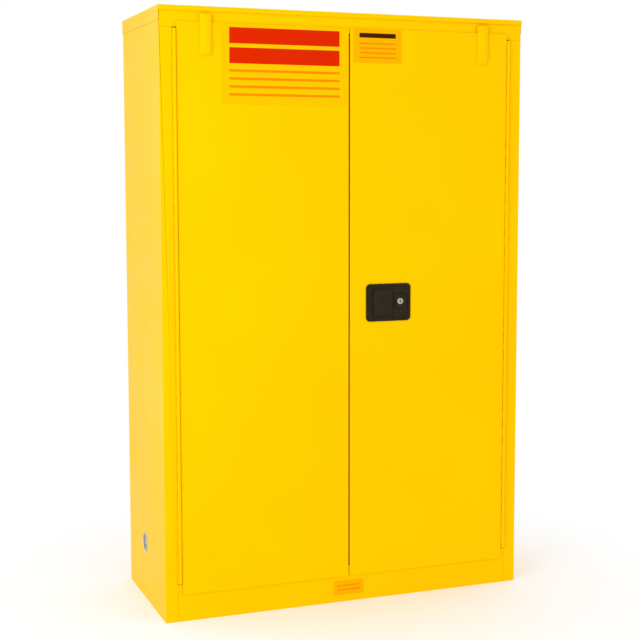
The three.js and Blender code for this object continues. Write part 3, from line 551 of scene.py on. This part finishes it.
def dish(black):
    x, z, front = handle_planes()
    paddle_low, paddle_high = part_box("paddle")
    pocket_x = (x[0] + 10 * MM, paddle_high.x + 2.1 * MM)
    pocket_z = (paddle_low.z - 2 * MM, paddle_high.z + 2 * MM)
    tray = front + TRAY_DEPTH
    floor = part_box("handle_dish")[1].y - 2 * MM
    corner = 12 * MM
    rim = RIM_WIDTH
    shape = Shape()
    shape.loft([
        rounded_loop(x, z, corner, front + BEZEL_BACK),
        rounded_loop(x, z, corner, front + 1.6 * MM),
        rounded_loop(inset(x, 0.5 * MM), inset(z, 0.5 * MM), corner - 0.5 * MM, front + 0.6 * MM),
        rounded_loop(inset(x, 1.8 * MM), inset(z, 1.8 * MM), corner - 1.8 * MM, front),
        rounded_loop(inset(x, rim), inset(z, rim), corner - rim, front),
        rounded_loop(inset(x, rim + 0.5 * MM), inset(z, rim + 0.5 * MM), corner - rim, front + 0.2 * MM),
        rounded_loop(inset(x, rim + 1.8 * MM), inset(z, rim + 1.8 * MM), corner - rim, tray),
        rounded_loop(inset(pocket_x, -0.8 * MM), inset(pocket_z, -0.8 * MM), 3.2 * MM, tray),
        rounded_loop(inset(pocket_x, -0.2 * MM), inset(pocket_z, -0.2 * MM), 2.6 * MM, tray + 0.3 * MM),
        rounded_loop(pocket_x, pocket_z, 2.4 * MM, tray + 1 * MM),
        rounded_loop(inset(pocket_x, 0.4 * MM), inset(pocket_z, 0.4 * MM), 2.4 * MM, floor - 3 * MM),
        rounded_loop(inset(pocket_x, 2.5 * MM), inset(pocket_z, 2.5 * MM), 2.4 * MM, floor),
    ])
    shape.piece("handle_dish_moulding", "door_right", black, stands_for=["handle_dish"])


def paddle(black):
    low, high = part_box("paddle")
    pin_low, pin_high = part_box("paddle_pin")
    pin_x, pin_y = (pin_low.x + pin_high.x) / 2, (pin_low.y + pin_high.y) / 2
    x, z = (low.x, pin_x + 2.6 * MM), (low.z, high.z)
    front = low.y
    shape = Shape()
    shape.loft([
        rounded_loop(inset(x, 0.4 * MM), inset(z, 0.4 * MM), 2 * MM, front + 3 * MM),
        rounded_loop(x, z, 2.4 * MM, front + 2.4 * MM),
        rounded_loop(x, z, 2.4 * MM, front + 1 * MM),
        rounded_loop(inset(x, 0.3 * MM), inset(z, 0.3 * MM), 2.2 * MM, front + 0.35 * MM),
        rounded_loop(inset(x, 1 * MM), inset(z, 1 * MM), 1.8 * MM, front),
        rounded_loop((x[0] + 7 * MM, x[1] - 4 * MM), inset(z, 4 * MM), 1.6 * MM, front),
        rounded_loop((x[0] + 8 * MM, x[1] - 5 * MM), inset(z, 5 * MM), 1.4 * MM, front + 0.6 * MM),
        rounded_loop((x[0] + 20 * MM, x[1] - 16 * MM), inset(z, 18 * MM), 1.4 * MM, front + 0.9 * MM),
    ])
    lip_z = inset(z, 2 * MM)
    shape.block((x[0], front + 2.6 * MM, lip_z[0]), (x[0] + 3 * MM, front + 9 * MM, lip_z[1]))
    shape.lathe(Vector((pin_x, pin_y, z[0] + 0.2 * MM)), Vector((0, 0, 1)), [
        (2.8 * MM, 0),
        (3.3 * MM, 0.5 * MM),
        (3.3 * MM, z[1] - z[0] - 0.9 * MM),
        (2.8 * MM, z[1] - z[0] - 0.4 * MM),
    ], 28)
    middle = (z[0] + z[1]) / 2
    shape.block((pin_x - 4 * MM, pin_y + 1 * MM, middle - 10 * MM),
                (pin_x - 0.5 * MM, high.y, middle + 10 * MM))
    shape.piece("paddle_moulding", "paddle", black, stands_for=["paddle"])


def slotted_screw(shape, place, axis, radius):
    """A low round head with a slot across it, standing on place and facing along axis."""
    def slot(depth, half_width):
        points = circle(place + depth * axis, axis, 0.78 * radius, 28)
        across = axis.orthogonal().normalized()
        centre = place + depth * axis
        flat = []
        for p in points:
            away = (p - centre).dot(across)
            flat.append(p - across * (away - max(-half_width, min(half_width, away))))
        return flat
    shape.loft([
        circle(place, axis, radius, 28),
        circle(place + 0.2 * radius * axis, axis, radius, 28),
        circle(place + 0.42 * radius * axis, axis, 0.86 * radius, 28),
        slot(0.46 * radius, 0.16 * radius),
        slot(0.12 * radius, 0.15 * radius),
    ])


def lock(black, shiny):
    low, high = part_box("lock_plug")
    centre = Vector(((low.x + high.x) / 2, 0, (low.z + high.z) / 2))
    _, z, front = handle_planes()
    boss_front = front - BOSS_STAND
    boss_x, boss_z = around(centre.x, BOSS_WIDTH), around(centre.z, BOSS_HEIGHT)
    bore = (high.x - low.x) / 2 + 0.3 * MM
    hole_x, hole_z = around(centre.x, 2 * bore), around(centre.z, 2 * bore)
    boss = Shape()
    boss.loft([
        rounded_loop(inset(boss_x, -0.6 * MM), inset(boss_z, -0.6 * MM), 6.6 * MM, front + TRAY_DEPTH),
        rounded_loop(boss_x, boss_z, 6 * MM, boss_front + 1.6 * MM),
        rounded_loop(inset(boss_x, 0.5 * MM), inset(boss_z, 0.5 * MM), 5.5 * MM, boss_front + 0.5 * MM),
        rounded_loop(inset(boss_x, 1.6 * MM), inset(boss_z, 1.6 * MM), 4.4 * MM, boss_front),
        rounded_loop(hole_x, hole_z, bore, boss_front),
        rounded_loop(hole_x, hole_z, bore, boss_front + 4 * MM),
    ])
    boss.piece("lock_boss", "door_right", black)
    out = Vector((0, -1, 0))
    face = Vector((centre.x, boss_front, centre.z))
    collar = Shape()
    collar.ring(face, out, [
        (bore - 0.1 * MM, -3 * MM),
        (bore + 0.7 * MM, 0),
        (bore + 0.5 * MM, 0.5 * MM),
        (bore - 0.2 * MM, 0.6 * MM),
        (bore - 0.8 * MM, 0.3 * MM),
        (bore - 1.1 * MM, -0.4 * MM),
        (bore - 1.1 * MM, -3 * MM),
    ], 48)
    collar.piece("lock_collar", "door_right", black)
    plug_r = bore - 2.1 * MM
    plug = Shape()
    plug.loft([
        rounded_loop(around(centre.x, 2 * plug_r), around(centre.z, 2 * plug_r), plug_r, high.y),
        rounded_loop(around(centre.x, 2 * plug_r), around(centre.z, 2 * plug_r), plug_r,
                     boss_front + 0.1 * MM),
        rounded_loop(around(centre.x, 1.9 * plug_r), around(centre.z, 1.9 * plug_r), 0.95 * plug_r,
                     boss_front - 0.4 * MM),
        rounded_loop(around(centre.x, 1.4 * plug_r), around(centre.z, 1.6 * plug_r), 0.7 * plug_r,
                     boss_front - 0.5 * MM),
        rounded_loop(around(centre.x, 2 * MM), around(centre.z, 9.4 * MM), 0.6 * MM, boss_front - 0.5 * MM),
        rounded_loop(around(centre.x, 1.8 * MM), around(centre.z, 9.2 * MM), 0.6 * MM, boss_front + 5 * MM),
    ])
    plug.piece("lock_plug_face", "lock", shiny, stands_for=["lock_plug"])
    screws = Shape()
    for rise in HANDLE_SCREW_Z:
        spot = Vector((centre.x + HANDLE_SCREW_X, front + TRAY_DEPTH, (z[0] + z[1]) / 2 + rise))
        slotted_screw(screws, spot, out, HANDLE_SCREW_R)
    screws.piece("handle_screws", "door_right", black)


def cover_screws(plate):
    low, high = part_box("latch_cover")
    screws = Shape()
    for x in (low.x + COVER_SCREW_EDGE, high.x - COVER_SCREW_EDGE):
        for z in (low.z + COVER_SCREW_EDGE, (low.z + high.z) / 2, high.z - COVER_SCREW_EDGE):
            slotted_screw(screws, Vector((x, high.y, z)), Vector((0, 1, 0)), COVER_SCREW_R)
    screws.piece("latch_cover_screws", "door_right", plate)


# ---- Vents and grounding screw ----

THREAD_PITCH = 2.2 * MM
THREAD_TURNS = 9
BUNG_SIDES = 28
SCREEN_PITCH = 1.7 * MM
SCREEN_WIRE_R = 0.24 * MM
BUNG_WALL = 2 * MM
BUNG_CUP_DEPTH = 7 * MM
BUNG_SOCKET = 13 * MM
BUNG_SOCKET_DEPTH = 3 * MM


def vent(name, side, plate, mesh_steel):
    low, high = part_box(f"vent_collar_{name}")
    bung_low, bung_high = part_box(f"vent_bung_{name}")
    screen_low, screen_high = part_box(f"flame_screen_{name}")
    out = Vector((side, 0, 0))
    outer_x, inner_x = (low.x, high.x) if side < 0 else (high.x, low.x)
    centre = Vector((outer_x, (low.y + high.y) / 2, (low.z + high.z) / 2))
    flange_r = (high.z - low.z) / 2
    tube_r, bore = flange_r - 4 * MM, flange_r - 7 * MM
    length = abs(outer_x - inner_x)
    profile = [
        (bore, -length),
        (tube_r, -length),
        (tube_r, -1.4 * MM),
        (flange_r, -1.4 * MM),
        (flange_r, -0.7 * MM),
        (flange_r - 0.8 * MM, 0),
        (bore + 1 * MM, 0),
        (bore + 0.2 * MM, -0.6 * MM),
    ]
    for i in range(THREAD_TURNS):
        profile += [(bore + 0.5 * MM, -(1.2 * MM + i * THREAD_PITCH)),
                    (bore - 0.1 * MM, -(1.2 * MM + (i + 0.5) * THREAD_PITCH))]
    collar = Shape()
    collar.ring(centre, out, profile, 64)
    collar.piece(f"vent_collar_{name}_turned", "cabinet", plate,
                 stands_for=[f"vent_collar_{name}"])
    bung_face = bung_low.x if side < 0 else bung_high.x
    bung_back = bung_high.x if side < 0 else bung_low.x
    face = Vector((bung_face, centre.y, centre.z))
    bung_r = (bung_high.z - bung_low.z) / 2
    thick = abs(bung_face - bung_back)
    bung = Shape()
    square = [Vector((0, y, z)) for y, z in ((-1, -1), (1, -1), (1, 1), (-1, 1))]

    def socket(half, depth):
        """A square with as many points as the disc."""
        side_points = BUNG_SIDES // 4
        points = []
        for a, b in zip(square, square[1:] + square[:1]):
            points += [face - depth * out + half * a.lerp(b, i / side_points) for i in range(side_points)]
        return points

    def disc(radius, depth):
        turns_at = [2 * math.pi * i / BUNG_SIDES - 0.75 * math.pi for i in range(BUNG_SIDES)]
        return [face - depth * out + radius * Vector((0, math.cos(t), math.sin(t))) for t in turns_at]

    cup_floor = BUNG_CUP_DEPTH
    bung.loft([
        disc(bung_r - 1.6 * MM, thick),
        disc(bung_r - 0.2 * MM, thick - 1.2 * MM),
        disc(bung_r - 0.2 * MM, 0.6 * MM),
        disc(bung_r - 0.7 * MM, 0),
        disc(bung_r - BUNG_WALL + 0.4 * MM, 0),
        disc(bung_r - BUNG_WALL, 0.5 * MM),
        disc(bung_r - BUNG_WALL - 0.3 * MM, cup_floor - 0.8 * MM),
        disc(bung_r - BUNG_WALL - 1.1 * MM, cup_floor),
        socket(BUNG_SOCKET / 2 + 0.6 * MM, cup_floor),
        socket(BUNG_SOCKET / 2, cup_floor + 0.6 * MM),
        socket(BUNG_SOCKET / 2 - 0.2 * MM, cup_floor + BUNG_SOCKET_DEPTH),
    ])
    bung.piece(f"vent_bung_{name}_cast", f"vent_bung_{name}", plate,
               stands_for=[f"vent_bung_{name}"])
    woven_screen(name, Vector(((screen_low.x + screen_high.x) / 2, centre.y, centre.z)),
                 (screen_high.z - screen_low.z) / 2, out, mesh_steel)


def woven_screen(name, centre, radius, out, mesh_steel):
    """Two sets of wires, each passing over and under the other, in a pressed ring."""
    pitch, wire = SCREEN_PITCH, SCREEN_WIRE_R
    mesh_r = radius - 1.2 * MM
    shape = Shape()
    shape.ring(centre, out, [
        (radius - 2 * MM, -1 * MM),
        (radius, -1 * MM),
        (radius, 1 * MM),
        (radius - 2 * MM, 1 * MM),
    ], 64)
    count = int(mesh_r / pitch)
    directions = ((Vector((0, 1, 0)), Vector((0, 0, 1))), (Vector((0, 0, 1)), Vector((0, 1, 0))))
    for layer, (along, across) in enumerate(directions):
        for row in range(-count, count + 1):
            reach = math.sqrt(mesh_r ** 2 - (row * pitch) ** 2)
            steps = int(reach / pitch)
            loops = []
            for step in range(-steps, steps + 1):
                over = 1 if (row + step + layer) % 2 else -1
                place = centre + across * row * pitch + along * step * pitch + out * over * wire
                loops.append([place + wire * (a * across + b * out)
                              for a, b in ((-1, 0), (0, -1), (1, 0), (0, 1))])
            if len(loops) > 1:
                shape.loft(loops)
    shape.piece(f"flame_screen_{name}_woven", "cabinet", mesh_steel,
                stands_for=[f"flame_screen_{name}"])


def ground_screw(plate):
    low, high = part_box("ground_screw")
    out = Vector((0, 1, 0))
    centre = Vector(((low.x + high.x) / 2, high.y - 2.4 * MM, (low.z + high.z) / 2))
    shape = Shape()
    shape.lathe(centre, out, [(7 * MM, 0), (7 * MM, 0.8 * MM), (6.6 * MM, 1.0 * MM)], 40)
    shape.lathe(centre, out, [
        (5.2 * MM, 1 * MM),
        (5.2 * MM, 4.0 * MM),
        (4.6 * MM, 4.4 * MM),
    ], 6)
    shape.lathe(centre, out, [(2.5 * MM, -14 * MM), (2.5 * MM, 0.5 * MM)], 20)
    shape.piece("ground_screw_hex", "cabinet", plate, 0.2 * MM, ["ground_screw"])


# ---- Spot welds ----

def spot_welds(name, body, places, out, paint):
    """Shallow dished marks under the paint, where the sheets are joined."""
    shape = Shape()
    for place in places:
        shape.lathe(place - 0.05 * MM * out, out, [
            (3.4 * MM, 0),
            (3.2 * MM, 0.18 * MM),
            (2.6 * MM, 0.3 * MM),
            (1.8 * MM, 0.16 * MM),
            (0.5 * MM, 0.1 * MM),
        ], 20)
    shape.piece(name, body, paint)


def spaced(start, end, pitch):
    count = max(round((end - start) / pitch), 1)
    return [start + (end - start) * i / count for i in range(count + 1)]


def all_spot_welds(paint):
    cover_low, cover_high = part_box("top_cover")
    for name, side in SIDES:
        x = cover_low.x if side < 0 else cover_high.x
        z = cover_low.z + 14 * MM
        rows = spaced(cover_low.y + 60 * MM, cover_high.y - 40 * MM, 110 * MM)
        spot_welds(f"top_cover_welds_{name}", "cabinet", [Vector((x, y, z)) for y in rows],
                   Vector((side, 0, 0)), paint)
        low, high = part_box(f"outer_side_{name}")
        x = (low.x if side < 0 else high.x) - side * 13 * MM
        rows = spaced(low.z + 50 * MM, high.z - 80 * MM, 150 * MM)
        spot_welds(f"back_flange_welds_{name}", "cabinet", [Vector((x, high.y, z)) for z in rows],
                   Vector((0, 1, 0)), paint)
        low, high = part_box(f"door_{name}_pan")
        rows = spaced(low.z + 40 * MM, high.z - 40 * MM, 160 * MM)
        marks = [Vector((x, high.y, z)) for x in (low.x + 12 * MM, high.x - 12 * MM) for z in rows]
        spot_welds(f"door_{name}_pan_welds", f"door_{name}", marks, Vector((0, 1, 0)), paint)


# ---- Labels ----

INK_DEPTH = 0.06 * MM
INK_CORNER = 0.8 * MM
INK_START = 0.02 * MM


def printed(name, body, made, front, panels):
    """Flat panels of ink, each given by its limits in x and z, on a film whose face is at front."""
    shape = Shape()
    for x, z in panels:
        outline = rounded_loop(x, z, INK_CORNER, front + INK_START, 3)
        shape.prism(outline, Vector((0, -INK_DEPTH, 0)))
    shape.piece(name, body, made)


def part_of(limits, start, end):
    size = limits[1] - limits[0]
    return (limits[0] + start * size, limits[0] + end * size)


def bands(x, z, count, first, last, height, margin):
    """The limits of equally long bands whose middles are evenly spaced from first to last.

    Apart from count, the numbers are shares of the label's own height and width.
    """
    span = part_of(x, margin, 1 - margin)
    steps = [first + (last - first) * i / max(count - 1, 1) for i in range(count)]
    return [(span, part_of(z, step - height / 2, step + height / 2)) for step in steps]


def labels(clear, amber, red, orange, dark):
    """Plain films with even bands of ink: no lettering, no symbol and no arrangement that means anything."""
    for node, made in (("label_left", clear), ("label_right", amber), ("label_sill", amber)):
        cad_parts[node].material_slots[0].material = made
    for name, body, slot, ink, rows in (
        ("left", "door_left", "ink_red", red, (2, 0.61, 0.86, 0.2, 0.06)),
        ("left", "door_left", "ink_orange", orange, (4, 0.12, 0.42, 0.03, 0.06)),
        ("right", "door_right", "ink_dark", dark, (1, 0.82, 0.82, 0.14, 0.12)),
        ("right", "door_right", "ink_orange", orange, (4, 0.16, 0.58, 0.04, 0.12)),
        ("sill", "cabinet", "ink_orange", orange, (2, 0.35, 0.65, 0.09, 0.12)),
    ):
        low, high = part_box(f"label_{name}")
        panels = bands((low.x, high.x), (low.z, high.z), *rows)
        printed(f"label_{name}_{slot}_bands", body, ink, low.y, panels)


# ---- The cabinet ----

make_camera()
make_world()
make_key_light()
make_floor()
paint = powder_coat()
steel = galvanised()
plate = zinc()
black = moulded_black()
shiny = polished()
mesh_steel = gauze()
dress_cad(paint, steel, plate, black)
for side_name, side_sign in SIDES:
    hinge(side_name, side_sign, paint, plate)
    stiffener(side_name, paint)
    vent(side_name, side_sign, plate, mesh_steel)
dish(black)
paddle(black)
lock(black, shiny)
cover_screws(plate)
ground_screw(plate)
all_spot_welds(paint)
labels(
    film("film_clear", (0.94, 0.515, 0.0)),
    film("film_amber", (0.93, 0.43, 0.0)),
    film("ink_red", (0.68, 0.016, 0.0)),
    film("ink_orange", (0.86, 0.24, 0.0)),
    film("ink_dark", (0.05, 0.01, 0.001)),
)
